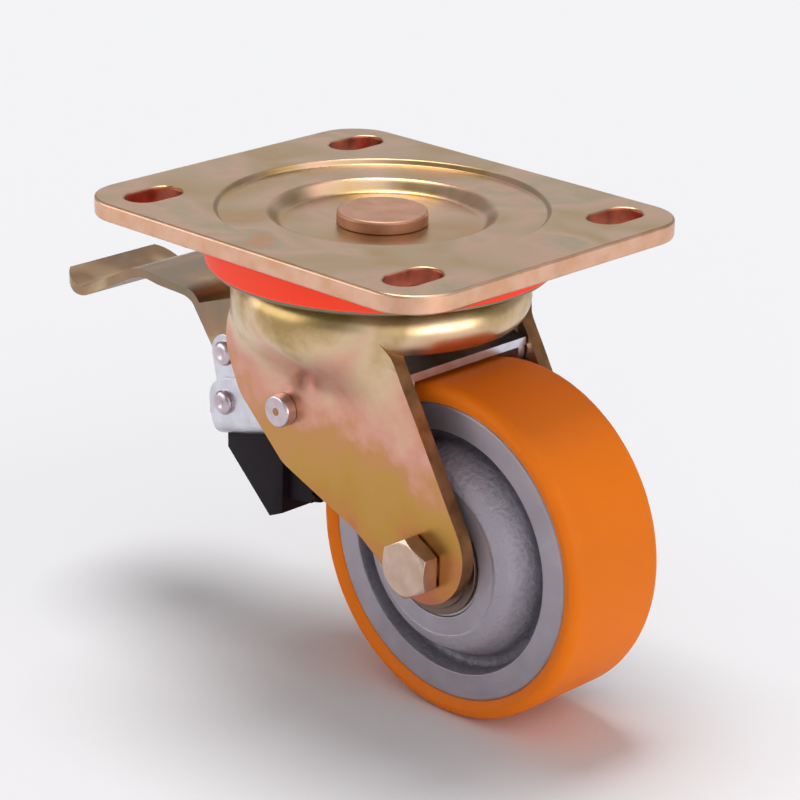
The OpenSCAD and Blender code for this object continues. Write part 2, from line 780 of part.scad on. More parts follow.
// The plastic shoe. Its pad is cut to the tread's circle as the circle lies when the bracket
// has turned back by the brake's angle, so the pad meets the tread all along when it grips.
module brake_shoe() {
    along = [cos(web_rise), sin(web_rise)];
    top_rear = web_start + 1.2 * along;
    top_front = web_end - 0.5 * along;
    front = brake_pin[0] - 10.3;
    tip = [front - 5.6, axle[1] - 8.9];
    teeth = 6;
    back = axle - brake_pin;
    turned = brake_pin + [
        back[0] * cos(brake_angle) + back[1] * sin(brake_angle),
        back[1] * cos(brake_angle) - back[0] * sin(brake_angle)];
    face_r = tread_r + grip_gap;
    color("#2A1E28")
    difference() {
        union() {
            across(-shoe_w / 2, shoe_w / 2) polygon([
                top_rear, top_rear - [0, 4.5], tip, tip + [5.4, 2.4],
                [front, axle[1] + 6], [front, top_front[1] - 0.5], top_front]);
            across(-pad_w / 2, pad_w / 2) polygon([
                [front - 3, axle[1] - 5.6], [front + 1, axle[1] - 4],
                [axle[0], axle[1] + 12], [axle[0], axle[1] + 19], [front - 3, axle[1] + 17.5]]);
        }
        cross_bar(turned, face_r, -shoe_w, shoe_w);
        // Teeth along the pad's gripping face
        for (i = [0 : teeth - 1])
            let (a = 180 - 19 + i * 3.6)
            translate([0, turned[0] + face_r * cos(a), turned[1] + face_r * sin(a)])
            rotate([a, 0, 0]) cube([2 * shoe_w, 2.6, 1.5], center = true);
    }
}

module rivets(p, x0, x1, x2) {
    edge = 0.5;
    r = rivet_head_d / 2;
    both_sides() turned_at(p) polygon([
        [0, x0],
        [rivet_d / 2, x0],
        [rivet_d / 2, x1],
        [r, x1],
        [r, x2 - 0.8],
        [r - edge, x2 - 0.3],
        [r - 1.4, x2],
        [0, x2]]);
}

// Rivets that join the links to the bracket, with their heads on the bracket
module lower_rivets() {
    color("#C4C0C2") rivets(lower_pivot, link_in, bracket_out, bracket_out + rivet_head_h);
}

// Rivets that join the links to the pedal, with their heads on the links
module upper_rivets() {
    color("#C4C0C2") rivets(upper_pivot, ear_in, link_out, link_out + rivet_head_h);
}

module toggle_link(side) {
    x0 = side > 0 ? link_in : -link_out;
    color(zinc_blue)
    difference() {
        across(x0, x0 + link_t) link_2d(lower_pivot, pivot_r, upper_pivot, pivot_r);
        cross_bar(lower_pivot, rivet_d / 2 + run_fit, x0 - lap, x0 + link_t + lap);
        cross_bar(upper_pivot, rivet_d / 2 + set_fit, x0 - lap, x0 + link_t + lap);
    }
}

module toggle_link_right() {
    toggle_link(1);
}

module toggle_link_left() {
    toggle_link(-1);
}

// The pedal: a bent sheet with a trough at its tip, a hump and an elbow, and two ears
module brake_pedal() {
    trough = [trough_in - pedal_reach, skirt_z - trough_drop];
    lip = [-pedal_reach, skirt_z - lip_drop];
    hump = [upper_pivot[0] - hump_back, skirt_z - hump_drop];
    elbow = [upper_pivot[0] - elbow_back, skirt_z - elbow_drop];
    foot = upper_pivot - [foot_back, foot_drop];
    line = rounded_path([lip, trough, hump, elbow, foot], [8, 17, 8]);
    tip_r = 9;
    waist_y = upper_pivot[0] - 30;
    ear_y = upper_pivot[0] - 17;
    color(zinc_gold)
    difference() {
        union() {
            intersection() {
                across(-pedal_w, pedal_w)
                    polygon(concat(beside(line, pedal_t / 2), reversed(beside(line, -pedal_t / 2))));
                translate([0, 0, skirt_z - 40]) linear_extrude(50) polygon(concat(
                    arc([pedal_w / 2 - tip_r, tip_r - pedal_reach - 1], tip_r, 270, 360, 8),
                    [[pedal_w / 2, waist_y], [ear_out, ear_y], [ear_out, 0]],
                    [[-ear_out, 0], [-ear_out, ear_y], [-pedal_w / 2, waist_y]],
                    arc([tip_r - pedal_w / 2, tip_r - pedal_reach - 1], tip_r, 180, 270, 8)));
            }
            both_sides() across(ear_in, ear_out) {
                link_2d(upper_pivot, 5.4, pedal_pin, 5.4);
                polygon([elbow + [2.4, -2.6], foot + [0, -0.6], upper_pivot + [0, -5.4],
                    upper_pivot, pedal_pin, pedal_pin + [0, 5.4], pedal_pin + [-2, 5]]);
            }
        }
        cross_bar(upper_pivot, rivet_d / 2 + open_fit, -ear_out - lap, ear_out + lap);
        cross_bar(pedal_pin, pedal_pin_d / 2 + run_fit, -ear_out - lap, ear_out + lap);
    }
}

// A double coil on the pedal's pin: two arms under the crown, and a loop behind the pedal's web
module return_spring() {
    wire_r = 0.8;
    turns = 5;
    pitch = 1.8 * wire_r;
    turn_r = pedal_pin_d / 2 + 0.4 + wire_r;
    x0 = 7;
    x1 = x0 + (turns - 1) * pitch;
    arm_z = pedal_pin[1] - turn_r;
    arm_l = 24.6;
    arm_gap = 1.6;
    color("#8C8F94") {
        both_sides() {
            for (i = [0 : turns - 1])
                turned_at(pedal_pin) translate([turn_r, x0 + i * pitch]) circle(wire_r, $fn = 48);
            translate([x1, pedal_pin[0] + turn_r, pedal_pin[1]])
                cylinder(r = wire_r, h = crown_z - crown_t - arm_gap - pedal_pin[1]);
            translate([x0, pedal_pin[0], arm_z]) rotate([90, 0, 0]) cylinder(r = wire_r, h = arm_l);
            translate([x0, pedal_pin[0] - arm_l, arm_z]) sphere(wire_r);
        }
        translate([-x0, pedal_pin[0] - arm_l, arm_z]) rotate([0, 90, 0]) cylinder(r = wire_r, h = 2 * x0);
    }
}

top_plate();
kingpin();
kingpin_nut();
lower_race();
lower_balls();
race_ring();
dust_seal();
upper_balls();
fork();
axle_bolt();
axle_washer();
axle_nut();
axle_sleeve();
spacer_tube();
dust_washers();
bearing_inner_rings();
bearing_outer_rings();
bearing_balls();
bearing_shields();
wheel_core();
tread();
brake_pin();
brake_pin_clip();
pedal_pin();
brake_bracket();
brake_shoe();
lower_rivets();
upper_rivets();
toggle_link_right();
toggle_link_left();
brake_pedal();
return_spring();
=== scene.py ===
import json
import math

import bmesh
import bpy
from mathutils import Matrix, Vector


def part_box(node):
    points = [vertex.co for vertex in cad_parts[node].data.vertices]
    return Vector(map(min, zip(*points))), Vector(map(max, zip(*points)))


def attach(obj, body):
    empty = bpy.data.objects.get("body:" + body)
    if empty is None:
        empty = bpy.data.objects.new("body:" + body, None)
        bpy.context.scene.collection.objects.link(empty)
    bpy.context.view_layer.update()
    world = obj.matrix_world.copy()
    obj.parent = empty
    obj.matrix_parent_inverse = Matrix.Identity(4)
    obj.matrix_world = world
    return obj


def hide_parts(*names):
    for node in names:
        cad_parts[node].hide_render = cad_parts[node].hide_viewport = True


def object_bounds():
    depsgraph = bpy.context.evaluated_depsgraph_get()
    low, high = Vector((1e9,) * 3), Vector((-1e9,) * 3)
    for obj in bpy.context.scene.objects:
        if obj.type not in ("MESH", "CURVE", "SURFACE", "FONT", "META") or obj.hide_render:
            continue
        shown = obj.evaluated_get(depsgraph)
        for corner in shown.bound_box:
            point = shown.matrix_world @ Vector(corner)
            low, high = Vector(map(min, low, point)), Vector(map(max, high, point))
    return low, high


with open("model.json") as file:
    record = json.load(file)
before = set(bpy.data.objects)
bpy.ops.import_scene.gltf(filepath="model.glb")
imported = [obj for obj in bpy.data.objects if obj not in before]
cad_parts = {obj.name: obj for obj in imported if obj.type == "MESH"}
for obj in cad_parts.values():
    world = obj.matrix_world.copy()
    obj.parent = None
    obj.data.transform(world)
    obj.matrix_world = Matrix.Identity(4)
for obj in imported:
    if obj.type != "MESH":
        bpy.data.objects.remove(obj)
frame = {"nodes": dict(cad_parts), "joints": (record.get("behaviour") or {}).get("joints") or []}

bl_info = {
    "name": "Swivel castor",
    "version": (1, 0, 0),
    "blender": (4, 5, 0),
    "location": "3D View > Sidebar > Castor",
    "description": "Dresses a swivel castor with a pedal brake for a studio picture",
    "category": "Object",
}

CAD_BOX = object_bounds()
NODES = frame["nodes"]
JOINTS = {joint["name"]: joint for joint in frame["joints"]}
MM = 0.001
# The slots' middles lie 83 mm apart along X and 105 mm along Y
SLOT_AT = [spacing * MM / 2 for spacing in (83.0, 105.0)]
# Edges that turn by more than this many degrees are rounded, in this many steps
EDGE_ANGLE, EDGE_STEPS = 38.0, 2
# The casting's turned faces: the rim's inner radius and the hub's radius
RIM_INNER_R, HUB_R = 36.6 * MM, 23 * MM
PHOTO_PX, SENSOR_MM = 800, 36


def corner(name, high):
    """One corner of a CAD node's box, as a vector in metres."""
    return Vector(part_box(name)[1 if high else 0])


def pivot(name):
    """The place of a joint, in metres."""
    return Vector(JOINTS[name]["pos_m"])


def linear(code):
    """An sRGB hex colour as linear red, green, blue and alpha."""
    parts = [int(code[i:i + 2], 16) / 255 for i in (1, 3, 5)]
    return tuple(c / 12.92 if c <= 0.04045 else ((c + 0.055) / 1.055) ** 2.4 for c in parts) + (1.0,)


def colour(name, description, code):
    """A colour for the panel, from its sRGB hex code."""
    return bpy.props.FloatVectorProperty(
        name=name, description=description, default=linear(code)[:3], size=3, subtype="COLOR", min=0, max=1
    )


def length(name, description, default_mm):
    """A length for the panel, given in mm."""
    return bpy.props.FloatProperty(
        name=name, description=description, default=default_mm * MM, min=0,
        unit="LENGTH", subtype="DISTANCE",
    )


class CastorColours(bpy.types.PropertyGroup):
    """Colours of the castor's finishes"""

    plate_zinc: colour("Plate", "Yellow passivated zinc on the plate", "#B8946E")
    fork_zinc: colour("Fork", "Yellow passivated zinc on the fork", "#C49C6C")
    pedal_zinc: colour("Pedal", "Yellow passivated zinc on the pedal", "#A38E72")
    clear_zinc: colour("Brackets", "Clear passivated zinc on the brake's brackets", "#D8D9E1")
    pale_zinc: colour("Bolts", "Thin yellow zinc on the bolt, the pins and the rivets", "#CDB5A6")
    iron: colour("Iron", "Cast iron of the wheel", "#ADA5AE")
    tread: colour("Tread", "Cast polyurethane of the tread", "#FF8210")
    seal: colour("Seal", "Moulded plastic of the dust seal", "#FF4426")
    shoe: colour("Shoe", "Moulded nylon of the brake shoe", "#1B1119")
    floor: colour("Floor", "Paper that the castor stands on", "#F1F1F3")


class CastorSizes(bpy.types.PropertyGroup):
    """Sizes of the details that the CAD solids leave plain"""

    plate_edge: length("Plate edge", "Rounding of the plate's sheared edges", 0.9)
    fork_edge: length("Fork edge", "Rounding of the fork's sheared edges", 0.6)
    pedal_edge: length("Pedal edge", "Rounding of the pedal's edges", 1.0)
    small_edge: length("Small edge", "Rounding of the small steel pieces' edges", 0.25)
    iron_edge: length("Iron edge", "Rounding of the casting's machined edges", 0.4)
    thread_pitch: length("Thread pitch", "Pitch of the axle bolt's thread", 1.5)


def node(tree, kind, inputs=None, stops=(), **settings):
    """Adds a node with its settings and a ramp's stops, and gives each input a value or a link."""
    made = tree.nodes.new(kind)
    for key, value in settings.items():
        setattr(made, key, value)
    for key, value in (inputs or {}).items():
        if isinstance(value, bpy.types.NodeSocket):
            tree.links.new(value, made.inputs[key])
        else:
            made.inputs[key].default_value = value
    for _ in stops[2:]:
        made.color_ramp.elements.new(0.5)
    for step, (place, tint) in zip(made.color_ramp.elements if stops else (), stops):
        step.position = place
        step.color = tint
    return made


def mixed(a, b, share):
    """A colour between two linear colours."""
    return tuple(x + (y - x) * share for x, y in zip(a, b))


def finish(name, look):
    """A new material, from look(tree, place), which returns the shader's inputs.

    place is the object's own coordinate.
    """
    material = bpy.data.materials.new(name)
    material.use_nodes = True
    tree = material.node_tree
    tree.nodes.clear()
    place = node(tree, "ShaderNodeTexCoord").outputs["Object"]
    shader = node(tree, "ShaderNodeBsdfPrincipled", look(tree, place))
    node(tree, "ShaderNodeOutputMaterial", {"Surface": shader.outputs["BSDF"]})
    return material


def per_mm(size_mm):
    """The scale that makes a noise's blots about size_mm across."""
    return 1 / (size_mm * MM)


def yellow_zinc(name, base, tints, blot_mm, span, drift, painted_shade_z=None):
    """Yellow chromate dipped on zinc plate: a satin metal whose film goes from straw to olive and pink.

    The dip drains off, so the tints follow each other up the piece over span, and clouds of
    blot_mm push them up and down by drift; on the fork the palest tints near the legs' tops are
    partly a painted highlight. Above the given height, a dark red-brown is painted in as the shade
    and the seal's red reflection under the race ring.
    """
    def look(tree, place):
        cloud = node(tree, "ShaderNodeTexNoise", {
            "Vector": place, "Scale": per_mm(blot_mm), "Detail": 1.5, "Distortion": 0.8,
        }).outputs["Fac"]
        fine = node(tree, "ShaderNodeTexNoise", {
            "Vector": place, "Scale": per_mm(blot_mm / 7), "Detail": 3.0, "Distortion": 0.3,
        }).outputs["Fac"]
        height = node(tree, "ShaderNodeSeparateXYZ", {"Vector": place}).outputs["Z"]
        level = node(tree, "ShaderNodeMapRange", {
            "Value": height, "From Min": span[0] * MM, "From Max": span[1] * MM,
        }).outputs["Result"]
        pushed = node(tree, "ShaderNodeMapRange", {
            "Value": cloud, "From Min": 0.25, "From Max": 0.75, "To Min": -drift, "To Max": drift,
        }).outputs["Result"]
        flecked = node(
            tree, "ShaderNodeMapRange", {"Value": fine, "To Min": -0.09, "To Max": 0.09}
        ).outputs["Result"]
        film = node(tree, "ShaderNodeMath", {0: level, 1: pushed}, operation="ADD").outputs["Value"]
        film = node(tree, "ShaderNodeMath", {0: film, 1: flecked}, operation="ADD").outputs["Value"]
        steps = [(i / (len(tints) - 1), mixed(base, linear(tint), 0.8)) for i, tint in enumerate(tints)]
        tint = node(tree, "ShaderNodeValToRGB", {"Fac": film}, stops=steps).outputs["Color"]
        if painted_shade_z is not None:
            # Painted shade: above the height, a dark red-brown stands for the shade and the seal's red
            # reflection under the race ring
            painted_shade_mask = node(tree, "ShaderNodeMapRange", {
                "Value": height, "From Min": (painted_shade_z - 0.9) * MM, "From Max": painted_shade_z * MM, "To Max": 0.85,
            }).outputs["Result"]
            tint = node(
                tree, "ShaderNodeMix", {0: painted_shade_mask, 6: tint, 7: linear("#3A1E18")}, data_type="RGBA"
            ).outputs[2]
        # Rolled sheet shows as a fine pebble, drawn coarser than the real one so that it's seen
        sheet = node(tree, "ShaderNodeTexNoise", {"Vector": place, "Scale": per_mm(0.9), "Detail": 2.0})
        return {
            "Base Color": tint,
            "Metallic": 1.0,
            "Roughness": node(
                tree, "ShaderNodeMapRange", {"Value": fine, "To Min": 0.24, "To Max": 0.38}
            ).outputs["Result"],
            "Normal": node(
                tree, "ShaderNodeBump", {"Height": sheet.outputs["Fac"], "Distance": 0.012 * MM}
            ).outputs["Normal"],
        }
    return finish(name, look)


def clear_zinc(name, base, dark, roughness):
    """Clear chromate on zinc plate: a bright metal, faintly clouded where the rack held it."""
    def look(tree, place):
        cloud = node(tree, "ShaderNodeTexNoise", {
            "Vector": place, "Scale": per_mm(6.0), "Detail": 3.0,
        }).outputs["Fac"]
        grit = node(tree, "ShaderNodeTexNoise", {"Vector": place, "Scale": per_mm(0.7), "Detail": 2.0})
        steps = [(0.35, dark), (0.62, base)]
        return {
            "Base Color": node(tree, "ShaderNodeValToRGB", {"Fac": cloud}, stops=steps).outputs["Color"],
            "Metallic": 1.0,
            "Roughness": node(tree, "ShaderNodeMapRange", {
                "Value": cloud, "To Min": roughness, "To Max": roughness + 0.12,
            }).outputs["Result"],
            "Normal": node(
                tree, "ShaderNodeBump", {"Height": grit.outputs["Fac"], "Distance": 0.01 * MM}
            ).outputs["Normal"],
        }
    return finish(name, look)


def bare_steel(name, base, roughness):
    """Turned or ground steel: an even grey metal with fine marks."""
    def look(tree, place):
        marks = node(tree, "ShaderNodeTexNoise", {
            "Vector": place, "Scale": per_mm(0.8), "Detail": 3.0,
        }).outputs["Fac"]
        return {
            "Base Color": base,
            "Metallic": 1.0,
            "Roughness": node(
                tree, "ShaderNodeMapRange", {"Value": marks, "To Min": roughness, "To Max": roughness + 0.1}
            ).outputs["Result"],
            "Normal": node(
                tree, "ShaderNodeBump", {"Height": marks, "Distance": 0.004 * MM}
            ).outputs["Normal"],
        }
    return finish(name, look)


def grey_iron(name, base, rim_inner_r, hub_r):
    """Sand-cast grey iron: rough in the dished web, turned smooth on the rim's and the hub's faces."""
    def look(tree, place):
        hub = pivot("wheel_spin")
        moved = node(tree, "ShaderNodeVectorMath", {0: place, 1: (0.0, hub.y, hub.z)}, operation="SUBTRACT")
        moved = moved.outputs["Vector"]
        flat = node(tree, "ShaderNodeVectorMath", {0: moved, 1: (0.0, 1.0, 1.0)}, operation="MULTIPLY")
        far = node(
            tree, "ShaderNodeVectorMath", {0: flat.outputs["Vector"]}, operation="LENGTH"
        ).outputs["Value"]
        along = node(tree, "ShaderNodeSeparateXYZ", {"Vector": moved}).outputs["X"]
        along = node(tree, "ShaderNodeMath", {0: along}, operation="ABSOLUTE").outputs["Value"]
        # A turned face is where both the distance from the wheel's middle and the radius fit it
        rim_x, hub_x = (16.3 * MM, 16.7 * MM), (21.7 * MM, 22.1 * MM)
        rim = node(tree, "ShaderNodeMapRange", {
            "Value": along, "From Min": rim_x[0], "From Max": rim_x[1],
        }).outputs["Result"]
        out = node(tree, "ShaderNodeMapRange", {
            "Value": far, "From Min": rim_inner_r - 0.3 * MM, "From Max": rim_inner_r + 0.3 * MM,
        }).outputs["Result"]
        rim = node(tree, "ShaderNodeMath", {0: rim, 1: out}, operation="MULTIPLY").outputs["Value"]
        face = node(tree, "ShaderNodeMapRange", {
            "Value": along, "From Min": hub_x[0], "From Max": hub_x[1],
        }).outputs["Result"]
        inside = node(tree, "ShaderNodeMapRange", {
            "Value": far, "From Min": hub_r + 0.6 * MM, "From Max": hub_r - 0.2 * MM,
        }).outputs["Result"]
        face = node(tree, "ShaderNodeMath", {0: face, 1: inside}, operation="MULTIPLY").outputs["Value"]
        turned = node(tree, "ShaderNodeMath", {0: rim, 1: face}, operation="MAXIMUM").outputs["Value"]
        # Moulding sand leaves grains up to 1.5 mm across, and the pattern's lumps are about 7 mm
        sand = node(tree, "ShaderNodeTexNoise", {
            "Vector": place, "Scale": per_mm(1.5), "Detail": 4.0,
        }).outputs["Fac"]
        lumps = node(tree, "ShaderNodeTexNoise", {"Vector": place, "Scale": per_mm(7.0), "Detail": 2.0})
        lumps = node(
            tree, "ShaderNodeMath", {0: lumps.outputs["Fac"], 1: 0.8}, operation="MULTIPLY"
        ).outputs["Value"]
        cast = node(tree, "ShaderNodeMath", {0: sand, 1: lumps}, operation="ADD").outputs["Value"]
        # The turning tool's feed is about 0.45 mm, and its marks are some hundredths deep
        rings = node(tree, "ShaderNodeMath", {0: far, 1: 2 * math.pi * per_mm(0.45)}, operation="MULTIPLY")
        marks = node(tree, "ShaderNodeMath", {0: rings.outputs["Value"]}, operation="SINE").outputs["Value"]
        marks = node(tree, "ShaderNodeMapRange", {
            "Value": marks, "From Min": -1.0, "To Min": 0.45, "To Max": 0.5,
        }).outputs["Result"]
        height = node(tree, "ShaderNodeMix", {0: turned, 2: cast, 3: marks}, data_type="FLOAT").outputs[0]
        # Painted shade: the skin is darkest deep in the groove, where the rim shades it
        groove_shade = node(tree, "ShaderNodeMapRange", {
            "Value": along, "From Min": 9 * MM, "From Max": 21 * MM, "To Min": 0.0, "To Max": 0.8,
        }).outputs["Result"]
        grit = node(
            tree, "ShaderNodeMapRange", {"Value": cast, "To Min": -0.25, "To Max": 0.35}
        ).outputs["Result"]
        groove_shade = node(tree, "ShaderNodeMath", {0: groove_shade, 1: grit}, operation="ADD").outputs["Value"]
        skin = node(tree, "ShaderNodeValToRGB", {"Fac": groove_shade}, stops=[
            (0.0, linear("#5C5660")), (0.5, linear("#8A848E")), (1.0, mixed(base, linear("#A5A1AF"), 0.4)),
        ]).outputs["Color"]
        spots = node(tree, "ShaderNodeTexNoise", {"Vector": place, "Scale": per_mm(9.0), "Detail": 3.0})
        bright = node(tree, "ShaderNodeValToRGB", {"Fac": spots.outputs["Fac"]}, stops=[
            (0.3, mixed(base, linear("#8E868F"), 0.4)), (0.7, base),
        ]).outputs["Color"]
        tint = node(tree, "ShaderNodeMix", {0: turned, 6: skin, 7: bright}, data_type="RGBA").outputs[2]
        return {
            "Base Color": tint,
            "Metallic": node(
                tree, "ShaderNodeMapRange", {"Value": turned, "To Min": 0.3, "To Max": 0.6}
            ).outputs["Result"],
            "Roughness": node(
                tree, "ShaderNodeMapRange", {"Value": turned, "To Min": 0.56, "To Max": 0.42}
            ).outputs["Result"],
            "Normal": node(
                tree, "ShaderNodeBump", {"Height": height, "Distance": 0.5 * MM}
            ).outputs["Normal"],
        }
    return finish(name, look)


def cast_polyurethane(name, base):
    """Cast polyurethane: a dense satin rubber, slightly translucent, with faint mould clouds."""
    def look(tree, place):
        cloud = node(tree, "ShaderNodeTexNoise", {
            "Vector": place, "Scale": per_mm(14.0), "Detail": 3.0,
        }).outputs["Fac"]
        skin = node(tree, "ShaderNodeTexNoise", {"Vector": place, "Scale": per_mm(0.6), "Detail": 2.0})
        steps = [(0.3, mixed(base, linear("#C85A10"), 0.08)), (0.7, base)]
        return {
            "Base Color": node(tree, "ShaderNodeValToRGB", {"Fac": cloud}, stops=steps).outputs["Color"],
            "Roughness": node(
                tree, "ShaderNodeMapRange", {"Value": cloud, "To Min": 0.48, "To Max": 0.6}
            ).outputs["Result"],
            "Subsurface Weight": 0.06,
            "Subsurface Radius": (0.004, 0.0015, 0.0006),
            "IOR": 1.5,
            "Specular IOR Level": 0.14,
            "Normal": node(
                tree, "ShaderNodeBump", {"Height": skin.outputs["Fac"], "Distance": 0.006 * MM}
            ).outputs["Normal"],
        }
    return finish(name, look)


def moulded_plastic(name, base, roughness, pebble_mm, gloss, painted_glow):
    """Injection-moulded plastic: an even colour under a fine moulded texture.

    The last argument is painted light: the colour gives off light in its own tint, which keeps a part
    bright in shade.
    """
    def look(tree, place):
        pebble = node(tree, "ShaderNodeTexNoise", {
            "Vector": place, "Scale": per_mm(pebble_mm), "Detail": 2.0,
        }).outputs["Fac"]
        return {
            "Base Color": base,
            "Roughness": node(tree, "ShaderNodeMapRange", {
                "Value": pebble, "To Min": roughness, "To Max": roughness + 0.12,
            }).outputs["Result"],
            "IOR": 1.5,
            "Specular IOR Level": gloss,
            "Emission Color": base,
            "Emission Strength": painted_glow,
            "Normal": node(
                tree, "ShaderNodeBump", {"Height": pebble, "Distance": 0.02 * MM}
            ).outputs["Normal"],
        }
    return finish(name, look)


# The film's tints on each piece, from its lowest part to its highest
PLATE_FILM = ("#B4805C", "#A98A58", "#B1977A", "#C49E86", "#A6987C", "#BA8660")
# On the fork, the pale tints near the legs' tops are partly a painted highlight
FORK_FILM_AND_HIGHLIGHT = (
    "#B0604C", "#BC7A40", "#B98B38", "#BE8E46", "#C48A58",
    "#D89A8C", "#DEB09A", "#DCC4A2", "#C6AC82", "#A08A58",
)
PEDAL_FILM = ("#DEC2A8", "#C2A888", "#A07E60", "#8C7464", "#767662")
MATERIALS = {}


def make_materials(colours):
    """The castor's finishes, made once from the colours in the panel."""
    def pick(name):
        return tuple(getattr(colours, name)) + (1.0,)

    MATERIALS.update(
        plate=yellow_zinc("yellow zinc on plate", pick("plate_zinc"), PLATE_FILM, 30, (-14, 12), 0.5),
        # The fork's top, under the race ring, gets painted shade and reflection from -18 mm up
        fork=yellow_zinc("yellow zinc on fork", pick("fork_zinc"), FORK_FILM_AND_HIGHLIGHT, 24, (-99, -16), 0.18, -18.0),
        pedal=yellow_zinc("yellow zinc on pedal", pick("pedal_zinc"), PEDAL_FILM, 22, (-62, -22), 0.4),
        clear_zinc=clear_zinc("clear zinc on brackets", pick("clear_zinc"), linear("#CBC8D0"), 0.25),
        pale_zinc=clear_zinc("pale zinc on bolts", pick("pale_zinc"), linear("#C0A390"), 0.3),
        forged_zinc=clear_zinc("zinc on forged steel", linear("#B58B76"), linear("#A88068"), 0.46),
        rivet_zinc=clear_zinc("zinc on rivets", linear("#CFC0C6"), linear("#B8A8AE"), 0.24),
        # A darker brown zinc, partly painted shade on the fork's edges
        sheared_zinc=clear_zinc("zinc on sheared edges", linear("#A87A54"), linear("#86603F"), 0.34),
        # Painted sheen on the plate's outer sides
        rim_zinc=clear_zinc("zinc on the plate's edge", linear("#DDB298"), linear("#D4A484"), 0.34),
        # Painted shade and the seal's red reflection under the pedal
        under_zinc=clear_zinc("zinc under the pedal", linear("#80503E"), linear("#5A3224"), 0.32),
        slot_zinc=clear_zinc("zinc in the slots", linear("#B8664E"), linear("#94503C"), 0.4),

        steel=bare_steel("turned steel", linear("#B8B4AE"), 0.32),
        dull_steel=bare_steel("oiled steel", linear("#7C6860"), 0.42),
        bearing=bare_steel("ground bearing steel", linear("#D2D2D4"), 0.12),
        iron=grey_iron("grey cast iron", pick("iron"), RIM_INNER_R, HUB_R),
        tread=cast_polyurethane("cast polyurethane", pick("tread")),
        # The seal's glow is painted light, keeping it bright in the shade under the plate
        seal=moulded_plastic("moulded seal plastic", pick("seal"), 0.45, 1.2, 0.25, 0.22),
        shoe=moulded_plastic("moulded nylon", pick("shoe"), 0.5, 0.9, 0.14, 0.0),
    )


def place_in_scene(obj):
    """Links obj to the scene."""
    bpy.context.scene.collection.objects.link(obj)
    return obj


def plain_mesh(obj, name):
    """A new object with obj's mesh as its modifiers leave it. obj is removed."""
    bpy.context.view_layer.update()
    mesh = bpy.data.meshes.new_from_object(obj.evaluated_get(bpy.context.evaluated_depsgraph_get()))
    mesh.name = name
    made = place_in_scene(bpy.data.objects.new(name, mesh))
    bpy.data.objects.remove(obj)
    return made


def smooth(obj, angle=32.0):
    """Smooth shading, with edges sharper than angle kept crisp."""
    work = bmesh.new()
    work.from_mesh(obj.data)
    for face in work.faces:
        face.smooth = True
    for edge in work.edges:
        if len(edge.link_faces) == 2:
            edge.smooth = edge.calc_face_angle() < math.radians(angle)
    work.to_mesh(obj.data)
    work.free()
    return obj


def wear(obj, material, body, *replaced, slot=None):
    """Gives a piece its material, its body and the CAD nodes that it stands for."""
    obj.data.materials.clear()
    obj.data.materials.append(MATERIALS[material])
    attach(obj, body)
    if replaced:
        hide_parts(*replaced)
    return obj


def eased(source, name, width):
    """A merged copy of a CAD node with its sharp edges rounded to width."""
    mesh = NODES[source].data.copy()
    work = bmesh.new()
    work.from_mesh(mesh)
    bmesh.ops.remove_doubles(work, verts=work.verts, dist=0.002 * MM)
    bmesh.ops.dissolve_limit(
        work, angle_limit=math.radians(0.6), verts=work.verts, edges=work.edges, delimit={"NORMAL"}
    )
    work.to_mesh(mesh)
    work.free()
    copy = smooth(place_in_scene(bpy.data.objects.new(name, mesh)))
    bevel = copy.modifiers.new("Eased edges", "BEVEL")
    bevel.width = width
    bevel.segments = EDGE_STEPS
    bevel.limit_method = "ANGLE"
    bevel.angle_limit = math.radians(EDGE_ANGLE)
    bevel.use_clamp_overlap = True
    # The large faces keep their own normals, so the flats shade flat up to the rounding
    flats = copy.modifiers.new("Flat faces", "WEIGHTED_NORMAL")
    flats.keep_sharp = True
    return plain_mesh(copy, name)


def dress(source, material):
    """Gives a CAD node its material and leaves its shape."""
    mesh = NODES[source].data
    mesh.materials.clear()
    mesh.materials.append(MATERIALS[material])


def recoat(obj, material, chosen):
    """Gives another material to the faces for which chosen(middle, normal) holds."""
    obj.data.materials.append(MATERIALS[material])
    for face in obj.data.polygons:
        if chosen(face.center, face.normal):
            face.material_index = len(obj.data.materials) - 1


def turned(name, centre, profile, about="X", closed=False, steps=72):
    """A shape turned about a line along X or Z through centre, from pairs of place and radius in metres."""
    work = bmesh.new()
    turn = Matrix.Identity(4) if about == "Z" else Matrix.Rotation(math.pi / 2, 4, "Y")
    rows = []
    for along, r in profile:
        count = 1 if r == 0 else steps
        ring = [Vector((r * math.cos(a), r * math.sin(a), along)) for a in
                (2 * math.pi * i / count for i in range(count))]
        rows.append([work.verts.new(Vector(centre) + turn @ point) for point in ring])
    for first, second in zip(rows, rows[1:] + rows[:1] if closed else rows[1:]):
        for i in range(steps):
            j = (i + 1) % steps
            ring = (
                first[i % len(first)], first[j % len(first)],
                second[j % len(second)], second[i % len(second)],
            )
            work.faces.new(list(dict.fromkeys(ring)))
    bmesh.ops.recalc_face_normals(work, faces=work.faces)
    mesh = bpy.data.meshes.new(name)
    work.to_mesh(mesh)
    work.free()
    return smooth(place_in_scene(bpy.data.objects.new(name, mesh)), 34.0)


def rivet_pair(source, name, head_mm):
    """A long rivet across the brake, with a dimple and a domed edge on each of its two heads."""
    low, high = corner(source, False), corner(source, True)
    centre = Vector((0, (low.y + high.y) / 2, (low.z + high.z) / 2))
    head_r = (high.z - low.z) / 2
    # The places are counted inward from the head's face, and the radii are shares of the head's
    steps = (
        (0.45, 0.0), (0.45, 0.22), (0.05, 0.38), (0.0, 0.5), (0.12, 0.68), (0.5, 0.87), (0.95, 0.97),
        (1.3, 1.0), (head_mm, 1.0), (head_mm, 0.6),
    )
    half = [(high.x - inward * MM, share * head_r) for inward, share in steps]
    return turned(name, centre, half + [(-x, r) for x, r in reversed(half)])


